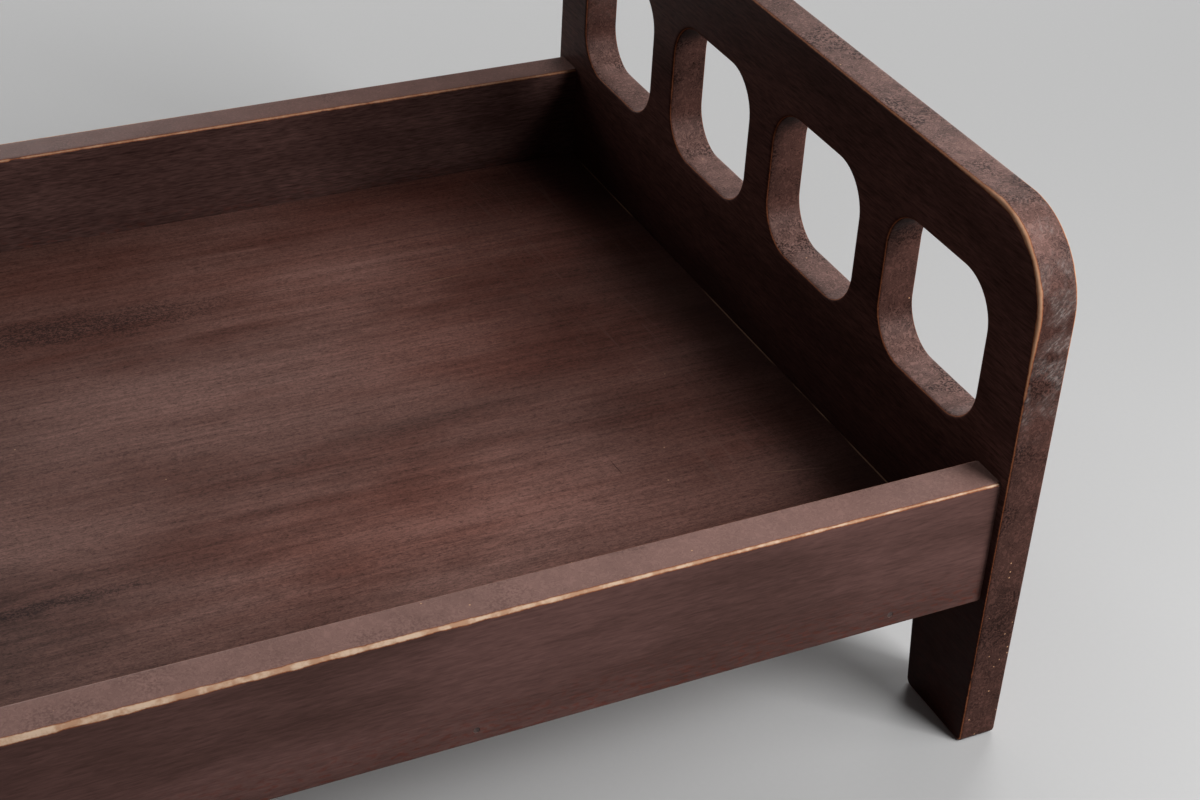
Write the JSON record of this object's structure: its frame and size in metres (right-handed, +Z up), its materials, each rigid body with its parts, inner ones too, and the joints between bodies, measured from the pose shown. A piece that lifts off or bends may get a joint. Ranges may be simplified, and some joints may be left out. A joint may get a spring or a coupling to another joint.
{
  "type": "small bed frame",
  "caption": "Low stained-board bed with windowed, round-cornered end panels as legs, side rails and a flat platform.",
  "frame": {"origin": "on the floor, at the middle of the bed's length and width", "axes": "+X along the bed to the head end, +Y across the bed to the far side, +Z up"},
  "size_m": [0.664, 0.425, 0.247],
  "materials": {
    "end_board": "dark brown stained board, satin, worn to tan along its arrises",
    "rail_board": "dark brown stained board, satin, worn to tan along its arrises",
    "platform_board": "dark brown stained wood veneer with its grain along the bed, satin",
    "dowel": "bare turned beech",
    "brad": "plain drawn steel wire",
    "filler": "dark stained wood filler, matt"
  },
  "bodies": {
    "root": {"head_panel": "end_board", "foot_panel": "end_board", "near_rail": "rail_board", "far_rail": "rail_board", "platform_panel": "platform_board", "head_dowels": "dowel", "foot_dowels": "dowel", "near_brads": "brad", "far_brads": "brad", "near_brad_filler": "filler", "far_brad_filler": "filler"}
  },
  "joints": []
}
